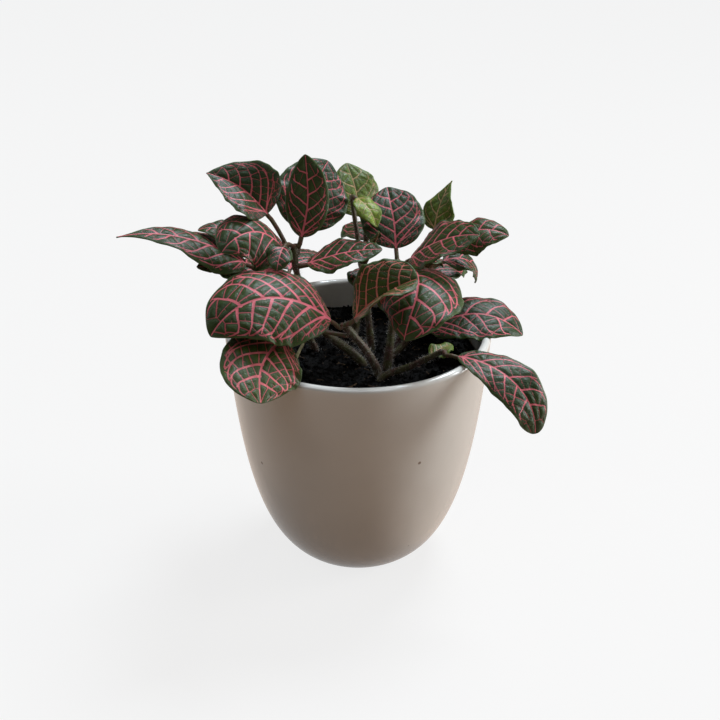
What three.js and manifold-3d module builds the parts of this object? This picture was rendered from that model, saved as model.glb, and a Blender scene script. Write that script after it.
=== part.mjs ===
// A potted nerve plant: a glazed pot, its soil, and a clump of leafy stems.
// Millimetres, +Z up. The origin is the middle of the pot's flat underside.
import * as THREE from "three";
import { mergeVertices } from "three/addons/utils/BufferGeometryUtils.js";
import Module from "manifold-3d";

// Driving dimensions of the pot and the soil.
const POT_HEIGHT = 112;
const POT_RADIUS = 60; // at the rim, where the pot is widest
const FOOT_RADIUS = 28;
const WALL = 4;
const FLOOR = 6;
const POT_SIDES = 64;
const BODY_STEPS = 12;
const LIP_STEPS = 5;
const SOIL_LEVEL = 99;
const SOIL_ROUGHNESS = 1;
const SOIL_SIDES = 40;
const STEM_DEPTH = 9; // how far each stem goes down into the soil
const GAP = 0.35; // clearance between pieces that touch

// Driving dimensions of the leaves and the stems.
const PETIOLE_HALF_WIDTH = 0.9;
const PETIOLE_THICKNESS = 1.6;
const BLADE_THICKNESS = 0.8;
const TIP_HALF_WIDTH = 0.35;
const BLADE_STATIONS = [0, 0.07, 0.2, 0.36, 0.54, 0.71, 0.85, 0.95, 1];
const PETIOLE_STATIONS = 2;
const MIDRIB_SUBSTEPS = 4; // steps from one station to the next
const BEND_POWER = 1.5; // a midrib bends more and more towards its tip
const OUTLINE_BASE = 0.55; // outline exponents: a rounded base, and a tip that `tip` sharpens
const OUTLINE_TIP = 0.72;
const WAVES = 1.6; // waves along one margin
const STEM_SIDES = 8;
const STEM_STEPS = 9;

const DEG = Math.PI / 180;
const vec = (x, y, z) => new THREE.Vector3(x, y, z);

// The clump. A stem is a smooth curve from its foot [x, y] in the soil through the points of its
// path, and radius is at its foot and at its top. A leaf leaves its stem at the share `at` of the
// stem's length. heading is its compass direction (0 is +X, 90 is +Y), rise the slope at its base,
// droop how far it has bent down by its tip, and sweep how far it has turned sideways. roll turns
// the blade about its midrib and twist adds to that by the tip; fold lifts both halves into a V,
// and cup curves their margins down. tip makes the tip sharper. Angles are in degrees.
const stems = {
  front_left: {
    foot: [9, -21],
    path: [[4, -25, 112], [-6, -30, 128]],
    radius: [2.1, 1.4],
    leaves: {
      big: { at: 1, heading: 202, rise: 50, droop: 112, length: 61.5, width: 41.5, roll: -31, cup: 26 },
      orange: {
        at: 0.99, heading: 350, rise: 50, droop: 30, petiole: 3, length: 34,
        width: 30, roll: 27, fold: 38, tip: 0.5,
      },
      under: {
        at: 0.86, heading: 187, rise: 19, droop: 68, petiole: 30, length: 37,
        width: 35, roll: -25, cup: 20, sweep: 95, tip: 0.6,
      },
    },
  },
  far_left: {
    foot: [-20, 5],
    path: [[-34, 4, 122], [-45, 3, 144]],
    radius: [1.9, 1.2],
    leaves: {
      long: {
        at: 0.94, heading: 203, rise: 40, droop: 50, length: 60, width: 27,
        roll: -15, cup: 20, sweep: -12, tip: 1.5,
      },
      behind: { at: 1, heading: 177, rise: 71, droop: 94, length: 25.5, width: 14.5, roll: -14, sweep: 10 },
      under: { at: 0.9, heading: 212, rise: 26, droop: 24, length: 24, width: 15, roll: -10, sweep: -15 },
      low: { at: 0.66, heading: 245, rise: 20, droop: 62, length: 32, width: 24, cup: 20 },
    },
  },
  left: {
    foot: [2, -10],
    path: [[-18, -12, 120], [-27, -7, 143], [-28, -3, 153]],
    radius: [2.2, 1.2],
    leaves: {
      round: { at: 0.92, heading: 217, rise: 65, droop: 118, length: 37.5, width: 33, roll: -38, cup: 60 },
      small: { at: 1, heading: 256, rise: 34, droop: 105, petiole: 13, length: 13, width: 11, roll: -8 },
      dark: { at: 0.88, heading: 354, rise: 24, droop: 24, petiole: 3, length: 34, width: 20, roll: 18 },
      top_left: {
        at: 0.97, heading: 165, rise: 66, droop: 54, petiole: 19, length: 32,
        width: 31, roll: -38, fold: 30, sweep: 15, tip: 1.1,
      },
      upright: {
        at: 1, heading: 20, rise: 72, droop: -8, petiole: 4, length: 36,
        width: 19, roll: 70, sweep: 110, twist: -105,
      },
      top_right: {
        at: 0.95, heading: 65, rise: 62, droop: 38, petiole: 11, length: 36,
        width: 33, roll: 35, fold: 4, wave: 0.6,
      },
    },
  },
  middle: {
    foot: [6, 2],
    path: [[3, 5, 130], [-3, 16, 169]],
    radius: [1.8, 0.9],
    leaves: {
      bright: {
        at: 1, heading: 305, rise: 0, droop: 70, petiole: 2,
        length: 19, width: 11, roll: 10, young: true,
      },
      fuzzy: { at: 0.64, heading: 330, rise: 72, droop: 10, length: 13, width: 8, petiole: 4 },
      black: { at: 0.62, heading: 272, rise: 10, droop: 80, petiole: 3, length: 14, width: 14 },
    },
  },
  right: {
    foot: [13, -16],
    path: [[16, -6, 124], [18, 4, 143]],
    radius: [2.1, 1.3],
    leaves: {
      upright: { at: 1, heading: 100, rise: 66, droop: 50, length: 32, width: 29, roll: -6 },
      forward: { at: 0.97, heading: 318, rise: 48, droop: 45, length: 38, width: 28, roll: 25, sweep: 20 },
      front: {
        at: 0.93, heading: 301, rise: 26, droop: 104, petiole: 12, length: 46,
        width: 40, roll: 6, cup: 45, sweep: -70,
      },
    },
  },
  back_right: {
    foot: [18, 5],
    path: [[28, 14, 126], [35, 20, 140]],
    radius: [2, 1.2],
    leaves: {
      round: { at: 1, heading: 350, rise: 56, droop: 88, length: 31, width: 21, roll: 30, cup: 40 },
      down: { at: 0.93, heading: 15, rise: 24, droop: 140, petiole: 4, length: 26, width: 16, roll: 20 },
      rear: { at: 0.7, heading: 62, rise: 30, droop: 85, length: 33, width: 26, cup: 30 },
      top: {
        at: 0.95, heading: 85, rise: 75, droop: 30, petiole: 14, length: 24,
        width: 16, sweep: -50, tip: 1.3, young: true,
      },
      striped: { at: 0.85, heading: 275, rise: 45, droop: 30, petiole: 4, length: 15, width: 11 },
    },
  },
  dry: {
    foot: [-30, -24],
    path: [[-27, -18, 107], [-24, -12, 111]],
    radius: [1, 0.6],
    dry: true,
    leaves: {},
  },
  low_right: {
    foot: [10, -25],
    path: [[24, -27, 107], [37, -27, 114]],
    radius: [1.7, 1.2],
    leaves: {
      drape: {
        at: 1, heading: 332, rise: 10, droop: 102, length: 53, width: 21,
        roll: 10, sweep: -10, twist: 20, tip: 0.5,
      },
      lobed: { at: 0.78, heading: 40, rise: 25, droop: 40, petiole: 3, length: 13, width: 11, young: true },
    },
  },
  side_right: {
    foot: [13, -9],
    path: [[20, -4, 105], [24, -1, 110]],
    radius: [1.8, 1.3],
    leaves: {
      side: {
        at: 1, heading: 15, rise: 33, droop: 82, length: 48,
        width: 30, roll: 17, cup: 10, sweep: -30,
      },
    },
  },
  back: {
    foot: [-2, 20],
    path: [[2, 25, 125], [4, 27, 149]],
    radius: [2, 1.2],
    leaves: {
      green: { at: 1, heading: 115, rise: 62, droop: 25, length: 27, width: 24, young: true },
      tall: { at: 0.96, heading: 50, rise: 45, droop: 70, length: 28, width: 22 },
      rear: { at: 0.84, heading: 88, rise: 22, droop: 70, length: 36, width: 26, cup: 30 },
    },
  },
  back_left: {
    foot: [-20, 18],
    path: [[-30, 27, 116], [-36, 32, 126]],
    radius: [2, 1.3],
    leaves: {
      outer: { at: 1, heading: 150, rise: 18, droop: 66, length: 30, width: 25, cup: 30 },
      low: { at: 0.72, heading: 192, rise: 36, droop: 100, length: 34, width: 26, cup: 20 },
      rear: { at: 0.92, heading: 82, rise: 25, droop: 85, length: 40, width: 29, cup: 30 },
    },
  },
  back_low: {
    foot: [20, 24],
    path: [[26, 33, 112], [29, 38, 122]],
    radius: [2, 1.3],
    leaves: {
      outer: { at: 1, heading: 58, rise: 12, droop: 60, length: 32, width: 28, cup: 30 },
      rear: { at: 0.92, heading: 132, rise: 18, droop: 90, length: 42, width: 30, cup: 30 },
    },
  },
};

// Closes a stack of rings, each with the same number of points, into one solid.
function loft(rings) {
  const sides = rings[0].length;
  const points = rings.flat().flatMap((p) => [p.x, p.y, p.z]);
  const faces = [];
  for (let i = 0; i + 1 < rings.length; i++) {
    for (let k = 0; k < sides; k++) {
      const a = i * sides + k;
      const b = i * sides + ((k + 1) % sides);
      faces.push(a, b, a + sides, b, b + sides, a + sides);
    }
  }
  const last = (rings.length - 1) * sides;
  for (let k = 1; k + 1 < sides; k++) {
    faces.push(0, k + 1, k);
    faces.push(last, last + k, last + k + 1);
  }
  const geometry = new THREE.BufferGeometry();
  geometry.setAttribute("position", new THREE.Float32BufferAttribute(points, 3));
  geometry.setIndex(faces);
  return geometry;
}

// A solid of revolution through [radius, height] points, raised by bump(x, y, height).
function turned(profile, sides, bump = () => 0) {
  return loft(
    profile.map(([radius, height]) =>
      Array.from({ length: sides }, (_, k) => {
        const x = radius * Math.cos((2 * Math.PI * k) / sides);
        const y = radius * Math.sin((2 * Math.PI * k) / sides);
        return vec(x, y, height + bump(x, y, height));
      }),
    ),
  );
}

// The outside of the pot swells quickly from its foot and stands almost upright at the rim.
const LIP_RADIUS = WALL / 2; // the rim is rounded over the whole wall
const body = new THREE.CubicBezierCurve(
  new THREE.Vector2(FOOT_RADIUS, 0),
  new THREE.Vector2(FOOT_RADIUS + 20, 13),
  new THREE.Vector2(POT_RADIUS - 5, 48),
  new THREE.Vector2(POT_RADIUS, POT_HEIGHT - LIP_RADIUS),
);
const outside = body.getPoints(BODY_STEPS);

// The radius of the pot's inner face at a height.
function innerRadius(height) {
  const above = outside.findIndex((p) => p.y >= height);
  const [a, b] = [outside[above - 1], outside[above]];
  return a.x + ((b.x - a.x) * (height - a.y)) / (b.y - a.y) - WALL;
}

function potGeometry() {
  const profile = outside.map((p) => [p.x, p.y]);
  for (let i = 1; i < LIP_STEPS; i++) {
    const a = (Math.PI * i) / LIP_STEPS;
    const middle = POT_RADIUS - LIP_RADIUS;
    const height = POT_HEIGHT - LIP_RADIUS + LIP_RADIUS * Math.sin(a);
    profile.push([middle + LIP_RADIUS * Math.cos(a), height]);
  }
  const inside = outside.filter((p) => p.y > FLOOR + 2 && p.y <= POT_HEIGHT - LIP_RADIUS).reverse();
  for (const p of inside) profile.push([p.x - WALL, p.y]);
  profile.push([innerRadius(FLOOR), FLOOR]);
  return turned(profile, POT_SIDES);
}

// The soil fills the pot, with low mounds and dips on its top.
function soilGeometry() {
  const profile = [[innerRadius(FLOOR) - 2 * GAP, FLOOR + GAP]];
  for (const p of outside) {
    if (p.y > FLOOR + 2 && p.y < SOIL_LEVEL - 4) profile.push([p.x - WALL - GAP, p.y]);
  }
  const edge = innerRadius(SOIL_LEVEL - 2) - GAP;
  profile.push([edge, SOIL_LEVEL - 2]);
  for (const share of [0.92, 0.76, 0.6, 0.44, 0.28, 0.12]) profile.push([edge * share, SOIL_LEVEL]);
  const mounds = (x, y) => (Math.sin(x / 6 + 1) * Math.cos(y / 7) + Math.sin((x + y) / 13)) / 2;
  return turned(profile, SOIL_SIDES, (x, y, height) =>
    height < SOIL_LEVEL ? 0 : SOIL_ROUGHNESS * mounds(x, y),
  );
}

// Half the blade's width at the share v of its length, as a share of its greatest half width.
function outline(v, tip) {
  const widest = OUTLINE_BASE / (OUTLINE_BASE + tip);
  const peak = widest ** OUTLINE_BASE * (1 - widest) ** tip;
  return (v ** OUTLINE_BASE * (1 - v) ** tip) / peak;
}

// A leaf as a loft along its midrib: the petiole first, then the blade.
function leafGeometry(leaf, start, phase) {
  const { heading, rise, length, width, petiole = 6, tip = OUTLINE_TIP } = leaf;
  const { droop = 0, sweep = 0, roll = 0, twist = 0, fold = 0, cup = 0, wave = 1.2 } = leaf;
  const total = petiole + length;
  const along = [];
  for (let i = 0; i < PETIOLE_STATIONS; i++) along.push((petiole * i) / PETIOLE_STATIONS);
  for (const v of BLADE_STATIONS) along.push(petiole + length * v);

  const direction = (u) => {
    const elevation = (rise - droop * u ** BEND_POWER) * DEG;
    const azimuth = (heading + sweep * u) * DEG;
    return vec(
      Math.cos(elevation) * Math.cos(azimuth),
      Math.cos(elevation) * Math.sin(azimuth),
      Math.sin(elevation),
    );
  };
  const rings = [];
  const point = start.clone();
  along.forEach((distance, i) => {
    if (i > 0) {
      const step = (distance - along[i - 1]) / MIDRIB_SUBSTEPS;
      for (let k = 0; k < MIDRIB_SUBSTEPS; k++) {
        point.addScaledVector(direction((along[i - 1] + (k + 0.5) * step) / total), step);
      }
    }
    const u = distance / total;
    const v = Math.max(0, (distance - petiole) / length);
    const tangent = direction(u);
    const azimuth = (heading + sweep * u) * DEG;
    const level = vec(-Math.sin(azimuth), Math.cos(azimuth), 0);
    const up = tangent.clone().cross(level);
    const turn = (roll + twist * u) * DEG;
    const side = level.clone().multiplyScalar(Math.cos(turn)).addScaledVector(up, Math.sin(turn));
    const normal = up.clone().multiplyScalar(Math.cos(turn)).addScaledVector(level, -Math.sin(turn));

    const blade = (width / 2) * outline(v, tip);
    const share = blade / (width / 2);
    const half = Math.max(blade, v === 0 ? PETIOLE_HALF_WIDTH : TIP_HALF_WIDTH);
    const thick = v === 0 ? PETIOLE_THICKNESS : BLADE_THICKNESS;
    // The point at the share q of the half width (negative to the right), raised by lift.
    const across = (q, lift) => {
      const size = Math.abs(q);
      const angle = (fold * share - (cup * share * size) / 2) * DEG;
      const ripple = wave * share * q * q * Math.sin(2 * Math.PI * WAVES * v + phase + q);
      return point
        .clone()
        .addScaledVector(side, q * half * Math.cos(angle))
        .addScaledVector(normal, size * half * Math.sin(angle) + ripple + lift);
    };
    const t = thick / 2;
    rings.push([
      across(1, 0), across(0.5, t), across(0, t), across(-0.5, t),
      across(-1, 0), across(-0.5, -t), across(0, -t), across(0.5, -t),
    ]);
  });
  return loft(rings);
}

// A round stem that thins towards its top, grown by `extra` for its socket in the soil.
function stemGeometry(curve, [foot, top], extra = 0) {
  const rings = [];
  for (let i = 0; i <= STEM_STEPS; i++) {
    const share = i / STEM_STEPS;
    const centre = curve.getPointAt(share);
    if (i === 0) centre.z -= extra;
    const tangent = curve.getTangentAt(share);
    const across = vec(0, 1, 0).cross(tangent).normalize();
    const front = tangent.clone().cross(across);
    const radius = foot + (top - foot) * share + extra;
    rings.push(
      Array.from({ length: STEM_SIDES }, (_, k) => {
        const a = (2 * Math.PI * k) / STEM_SIDES;
        return centre
          .clone()
          .addScaledVector(across, radius * Math.cos(a))
          .addScaledVector(front, radius * Math.sin(a));
      }),
    );
  }
  return loft(rings);
}

const wasm = await Module();
wasm.setup();

// A geometry as a manifold solid, and back.
function solidOf(geometry) {
  const merged = mergeVertices(geometry);
  return new wasm.Manifold(
    new wasm.Mesh({
      numProp: 3,
      vertProperties: merged.getAttribute("position").array,
      triVerts: Uint32Array.from(merged.index.array),
    }),
  );
}
function geometryOf(solid) {
  const mesh = solid.getMesh();
  const geometry = new THREE.BufferGeometry();
  geometry.setAttribute("position", new THREE.BufferAttribute(mesh.vertProperties, 3));
  geometry.setIndex(Array.from(mesh.triVerts));
  return geometry;
}

const material = (color, roughness) => new THREE.MeshStandardMaterial({ color, roughness, metalness: 0 });
const leafGreen = material(0x35432f, 0.45);
const youngGreen = material(0x7d9a35, 0.5);
const stemBrown = material(0x6b5138, 0.6);
const dryTan = material(0xc2a98a, 0.8);
const glaze = material(0xe3ddd4, 0.12);
const peat = material(0x17120e, 0.95);

const group = new THREE.Group();
function add(name, geometry, surface) {
  const mesh = new THREE.Mesh(geometry, surface);
  mesh.name = name;
  group.add(mesh);
}

add("pot", potGeometry(), glaze);
let soil = solidOf(soilGeometry());
let count = 0;
for (const [stemName, stem] of Object.entries(stems)) {
  const [x, y] = stem.foot;
  const curve = new THREE.CatmullRomCurve3([
    vec(x, y, SOIL_LEVEL - STEM_DEPTH),
    vec(x, y, SOIL_LEVEL),
    ...stem.path.map((p) => vec(...p)),
  ]);
  add("stem_" + stemName, stemGeometry(curve, stem.radius), stem.dry ? dryTan : stemBrown);
  soil = soil.subtract(solidOf(stemGeometry(curve, stem.radius, GAP)));

  for (const [leafName, leaf] of Object.entries(stem.leaves)) {
    const start = curve.getPointAt(leaf.at);
    const tangent = curve.getTangentAt(leaf.at);
    const out = vec(Math.cos(leaf.heading * DEG), Math.sin(leaf.heading * DEG), 0);
    out.addScaledVector(tangent, -out.dot(tangent)).normalize();
    const radius = stem.radius[0] + (stem.radius[1] - stem.radius[0]) * leaf.at;
    start.addScaledVector(out, radius + PETIOLE_THICKNESS / 2 + GAP);
    const surface = leaf.young ? youngGreen : leafGreen;
    add(`leaf_${stemName}_${leafName}`, leafGeometry(leaf, start, 2.4 * count), surface);
    count += 1;
  }
}
add("soil", geometryOf(soil), peat);

export default group;
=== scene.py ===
"""A potted nerve plant: a glazed pot, crumbly peat, hairy stems and leaves with a net of pink veins.

The design table and the curves below are in millimetres and degrees, in the frame of the CAD part:
+Z up, with the origin in the middle of the pot's flat underside. Meshes are stored in metres.
"""

import math

import bpy
import numpy as np
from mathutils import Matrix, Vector


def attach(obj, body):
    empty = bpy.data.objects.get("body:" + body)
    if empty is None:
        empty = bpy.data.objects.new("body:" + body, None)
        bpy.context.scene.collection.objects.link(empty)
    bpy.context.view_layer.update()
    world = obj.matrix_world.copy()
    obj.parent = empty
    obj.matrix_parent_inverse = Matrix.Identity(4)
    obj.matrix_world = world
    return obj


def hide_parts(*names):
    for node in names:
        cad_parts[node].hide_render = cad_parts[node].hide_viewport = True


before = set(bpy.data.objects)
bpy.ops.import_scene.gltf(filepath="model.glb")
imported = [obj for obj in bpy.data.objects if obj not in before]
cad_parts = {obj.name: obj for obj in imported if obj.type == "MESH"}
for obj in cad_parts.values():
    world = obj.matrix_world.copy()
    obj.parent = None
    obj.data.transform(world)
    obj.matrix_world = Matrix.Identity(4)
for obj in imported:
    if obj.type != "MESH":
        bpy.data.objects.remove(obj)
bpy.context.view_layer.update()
MM = 0.001

# ------ the pot and the soil

POT_HEIGHT = 112
POT_RADIUS = 60
FOOT_RADIUS = 28
WALL = 4
FLOOR = 6
LIP_RADIUS = WALL / 2
BODY_CURVE = [
    (FOOT_RADIUS, 0), (FOOT_RADIUS + 20, 13), (POT_RADIUS - 5, 48), (POT_RADIUS, POT_HEIGHT - LIP_RADIUS),
]
FOOT_RING = 3.5  # width of the bare clay ring that the pot stands on
FOOT_HOLLOW = 1.6  # depth of the hollow inside that ring
POT_SIDES = 160
BODY_STEPS = 70
AXIS_RADIUS = 0.6  # a turned profile starts and ends this near the axis
SOIL_LEVEL = 99
SOIL_GAP = 0.4
STEM_DEPTH = 9
BED_RINGS = 40  # rings and sides of the sheet that the crumbs are strewn on
BED_SIDES = 72

# ------ the leaves and the stems

PETIOLE_LENGTH = 6
PETIOLE_RADIUS = 0.9
PETIOLE_SIDES = 12
BLADE_THICKNESS = 0.5
TIP_HALF_WIDTH = 0.3
BEND_POWER = 1.5
OUTLINE_BASE = 0.55
OUTLINE_TIP = 0.72
WAVE = 1.2  # height of the broad waves of a margin
WAVES = 1.6  # how many of them run along a blade
# The finer ripples: depth as a share of the width, power of the way out, number along the blade,
# share of the leaf's own phase, slant.
RIPPLES = ((0.018, 3, 4.3, 2, 3), (0.006, 4, 9.1, 3, 5))
UNEVEN = 0.058  # depth of the notches in the margin, as a share of half the width
NOTCHES = (17, 29, 47)  # how often they come
SWELL = 0.36  # how far the skin swells between the veins
SWELL_WIDTH = 0.8
MIDRIB_TROUGH, TROUGH_WIDTH = 0.35, 1.3
ROLLED_MARGIN = 0.8
LEAF_CELL = 0.34  # size of one facet of a blade
LEAF_GAP = 1.15  # from the stem's skin to the middle of a petiole's foot
PHASE_STEP = 2.4  # from the waves of one leaf to those of the next
STEM_ROW = 0.7  # distance between the rings of a stem
STEM_SIDES = 20
BARE_FOOT = 0.12  # share of a stem, from its foot, without hairs
HAIRS = dict(Density=1.7e6, Smallest=0.0005, Largest=0.0017)  # per square metre, metres
PRONG_SIDES = 12
PRONGS = ((-2.2, 1.0, 3.4), (2.6, -0.6, 3.0))  # the two forks of the dead stub, from its top
BOLD_VEINS = ((115, 155), (0.92, 0.76))  # low leaves have thicker veins than high ones

# A stem runs from its foot in the soil through the points of its path; its radius goes from the first
# value to the second. A leaf leaves it at the share `at` of its length. heading is a compass direction
# (0 is +X, 90 is +Y), rise the slope at the base, droop how far the leaf has bent down by its tip and
# sweep how far it has turned. roll and twist turn the blade about its midrib, fold lifts its halves
# into a V, cup curves them down and wave ripples them. A high tip makes the blade more pointed, and
# bold its veins thicker. olive says how green the dark skin is, from 0 to 1, and young, for a light
# green leaf, how yellow.
def leaf_from(at, heading, rise, droop, length, width, **more):
    """A leaf; more may hold petiole, roll, twist, sweep, fold, cup, wave, tip, bold, olive or young."""
    return dict(at=at, heading=heading, rise=rise, droop=droop, length=length, width=width, **more)


def stem_from(foot, path, radius, **leaves):
    """A stem, with its radius at the foot and at the top."""
    return dict(foot=foot, path=path, radius=radius, leaves=leaves)


STEMS = {
    "front_left": stem_from(
        (9, -21), [(4, -25, 112), (-6, -30, 128)], (2.1, 1.4),
        big=leaf_from(1, 202, 50, 112, 61.5, 41.5, roll=-31, cup=26, olive=0.45, bold=1.08),
        orange=leaf_from(0.99, 350, 50, 30, 34, 30, petiole=3, roll=27, fold=38, tip=0.5, olive=1),
        under=leaf_from(0.86, 187, 19, 68, 37, 35, petiole=30, roll=-25, cup=20, sweep=95, tip=0.6,
            olive=0.7, bold=1.2),
    ),
    "far_left": stem_from(
        (-20, 5), [(-34, 4, 122), (-45, 3, 144)], (1.9, 1.2),
        long=leaf_from(0.94, 203, 40, 50, 60, 27, roll=-15, cup=20, sweep=-12, tip=1.5, olive=0.5),
        behind=leaf_from(1, 177, 71, 94, 25.5, 14.5, roll=-14, sweep=10),
        under=leaf_from(0.9, 212, 26, 24, 24, 15, roll=-10, sweep=-15, olive=0.5),
        low=leaf_from(0.66, 245, 20, 62, 32, 24, cup=20, olive=0.8),
    ),
    "left": stem_from(
        (2, -10), [(-18, -12, 120), (-27, -7, 143), (-28, -3, 153)], (2.2, 1.2),
        round=leaf_from(0.92, 217, 65, 118, 37.5, 33, roll=-38, cup=60, olive=0.3),
        small=leaf_from(1, 256, 34, 105, 13, 11, petiole=13, roll=-8, olive=0.2),
        dark=leaf_from(0.88, 354, 24, 24, 34, 20, petiole=3, roll=18, olive=0.4),
        top_left=leaf_from(0.97, 165, 66, 54, 32, 31, petiole=19, roll=-38, fold=30, sweep=15, tip=1.1,
            olive=0.2),
        upright=leaf_from(1, 20, 72, -8, 36, 19, petiole=4, roll=70, sweep=110, twist=-105, olive=0.4),
        top_right=leaf_from(0.95, 65, 62, 38, 36, 33, petiole=11, roll=35, fold=4, wave=0.6, olive=0.2),
    ),
    "middle": stem_from(
        (6, 2), [(3, 5, 130), (-3, 16, 169)], (1.8, 0.9),
        bright=leaf_from(1, 305, 0, 70, 19, 11, petiole=2, roll=10, young=0.9),
        fuzzy=leaf_from(0.64, 330, 72, 10, 13, 8, petiole=4),
        black=leaf_from(0.62, 272, 10, 80, 14, 14, petiole=3),
    ),
    "right": stem_from(
        (13, -16), [(16, -6, 124), (18, 4, 143)], (2.1, 1.3),
        upright=leaf_from(1, 100, 66, 50, 32, 29, roll=-6, olive=0.2),
        forward=leaf_from(0.97, 318, 48, 45, 38, 28, roll=25, sweep=20, olive=0.5),
        front=leaf_from(0.93, 301, 26, 104, 46, 40, petiole=12, roll=6, cup=45, sweep=-70, olive=0.4,
            bold=1.05),
    ),
    "back_right": stem_from(
        (18, 5), [(28, 14, 126), (35, 20, 140)], (2, 1.2),
        round=leaf_from(1, 350, 56, 88, 31, 21, roll=30, cup=40, olive=0.6),
        down=leaf_from(0.93, 15, 24, 140, 26, 16, petiole=4, roll=20),
        rear=leaf_from(0.7, 62, 30, 85, 33, 26, cup=30),
        top=leaf_from(0.95, 85, 75, 30, 24, 16, petiole=14, sweep=-50, tip=1.3, young=0.25),
        striped=leaf_from(0.85, 275, 45, 30, 15, 11, petiole=4, olive=0.7),
    ),
    "dry": stem_from(
        (-30, -24), [(-27, -18, 107), (-24, -12, 111)], (1, 0.6),
    ),
    "low_right": stem_from(
        (10, -25), [(24, -27, 107), (37, -27, 114)], (1.7, 1.2),
        drape=leaf_from(1, 332, 10, 102, 53, 21, roll=10, sweep=-10, twist=20, tip=0.5, olive=0.3,
            bold=0.68),
        lobed=leaf_from(0.78, 40, 25, 40, 13, 11, petiole=3, young=0.3),
    ),
    "side_right": stem_from(
        (13, -9), [(20, -4, 105), (24, -1, 110)], (1.8, 1.3),
        side=leaf_from(1, 15, 33, 82, 48, 30, roll=17, cup=10, sweep=-30, olive=0.2),
    ),
    "back": stem_from(
        (-2, 20), [(2, 25, 125), (4, 27, 149)], (2, 1.2),
        green=leaf_from(1, 115, 62, 25, 27, 24, young=0.35),
        tall=leaf_from(0.96, 50, 45, 70, 28, 22, olive=0.3),
        rear=leaf_from(0.84, 88, 22, 70, 36, 26, cup=30),
    ),
    "back_left": stem_from(
        (-20, 18), [(-30, 27, 116), (-36, 32, 126)], (2, 1.3),
        outer=leaf_from(1, 150, 18, 66, 30, 25, cup=30, olive=0.4),
        low=leaf_from(0.72, 192, 36, 100, 34, 26, cup=20),
        rear=leaf_from(0.92, 82, 25, 85, 40, 29, cup=30, olive=0.3),
    ),
    "back_low": stem_from(
        (20, 24), [(26, 33, 112), (29, 38, 122)], (2, 1.3),
        outer=leaf_from(1, 58, 12, 60, 32, 28, cup=30, olive=0.2),
        rear=leaf_from(0.92, 132, 18, 90, 42, 30, cup=30, olive=0.5),
    ),
}


# ------ meshes

def unit(v):
    return v / np.linalg.norm(v, axis=-1, keepdims=True)


def mesh_of(name, points, quads, fields=None):
    """A smooth mesh from points in millimetres and faces of four corners each."""
    quads = np.asarray(quads, dtype=np.int32).reshape(-1, 4)
    mesh = bpy.data.meshes.new(name)
    mesh.vertices.add(len(points))
    mesh.vertices.foreach_set("co", (np.asarray(points) * MM).astype(np.float32).ravel())
    mesh.loops.add(quads.size)
    mesh.loops.foreach_set("vertex_index", quads.ravel())
    mesh.polygons.add(len(quads))
    mesh.polygons.foreach_set("loop_start", np.arange(0, quads.size, 4, dtype=np.int32))
    mesh.update(calc_edges=True)
    for field, values in (fields or {}).items():
        made = mesh.attributes.new(field, "FLOAT", "POINT")
        made.data.foreach_set("value", np.asarray(values, dtype=np.float32))
    mesh.polygons.foreach_set("use_smooth", np.ones(len(quads), dtype=bool))
    return mesh


def settle(name, mesh, material, slot, *nodes):
    """Puts a finished mesh in the scene as one piece of the plant, in place of those CAD nodes."""
    piece = bpy.data.objects.new(name, mesh)
    bpy.context.scene.collection.objects.link(piece)
    mesh.materials.clear()
    mesh.materials.append(material)
    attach(piece, "root")
    if nodes:
        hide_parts(*nodes)
    return piece


def ring_faces(rows, sides, first=0):
    """The faces of a stack of rings, each of `sides` points, outside out for rings that climb."""
    here = np.arange(sides)
    after = (here + 1) % sides
    ring = np.stack([here, after, sides + after, sides + here], axis=1)
    return np.concatenate([first + i * sides + ring for i in range(rows - 1)])


def turned_rings(profile, sides):
    angle = 2 * np.pi * np.arange(sides) / sides
    ring = np.cos(angle), np.sin(angle)
    rows = [np.stack([r * ring[0], r * ring[1], np.full(sides, z)], axis=1) for r, z in profile]
    return np.concatenate(rows)


def revolved(profile, sides):
    """Points and faces of a closed solid of revolution; the profile starts and ends near the axis."""
    points = turned_rings(profile, sides)
    faces = ring_faces(len(profile), sides)
    # Small fans of four-sided faces close both ends.
    ends = []
    for first, flip in ((0, True), ((len(profile) - 1) * sides, False)):
        for k in range(1, sides - 1, 2):
            corner = [first, first + k, first + k + 1, first + (k + 2) % sides]
            if corner[3] == first:
                continue
            ends.append(corner[::-1] if flip else corner)
    return points, np.concatenate([faces, np.array(ends)])


# ------ curves

class Curve:
    """A smooth centripetal Catmull-Rom curve through points, read by its share of length."""

    SAMPLES = 80

    def __init__(self, through):
        p = [np.array(q, dtype=float) for q in through]
        p = [2 * p[0] - p[1], *p, 2 * p[-1] - p[-2]]
        pieces = []
        for a, b, c, d in zip(p, p[1:], p[2:], p[3:]):
            t0, t1, t2 = (np.linalg.norm(y - x) ** 0.5 for x, y in ((a, b), (b, c), (c, d)))
            start = ((b - a) / t0 - (c - a) / (t0 + t1) + (c - b) / t1) * t1
            end = ((c - b) / t1 - (d - b) / (t1 + t2) + (d - c) / t2) * t1
            t = np.linspace(0, 1, self.SAMPLES, endpoint=False)[:, None]
            square = 3 * (c - b) - 2 * start - end
            cube = 2 * (b - c) + start + end
            pieces.append(b + start * t + square * t**2 + cube * t**3)
        self.points = np.concatenate([*pieces, p[-2][None]])
        steps = np.linalg.norm(np.diff(self.points, axis=0), axis=1)
        self.length = steps.sum()
        self.share = np.concatenate([[0], np.cumsum(steps)]) / self.length

    def at(self, share):
        share = np.atleast_1d(share)
        return np.stack([np.interp(share, self.share, self.points[:, k]) for k in range(3)], axis=1)

    def tangent(self, share):
        share = np.atleast_1d(share)
        return unit(self.at(np.minimum(share + 0.004, 1)) - self.at(np.maximum(share - 0.004, 0)))


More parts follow.
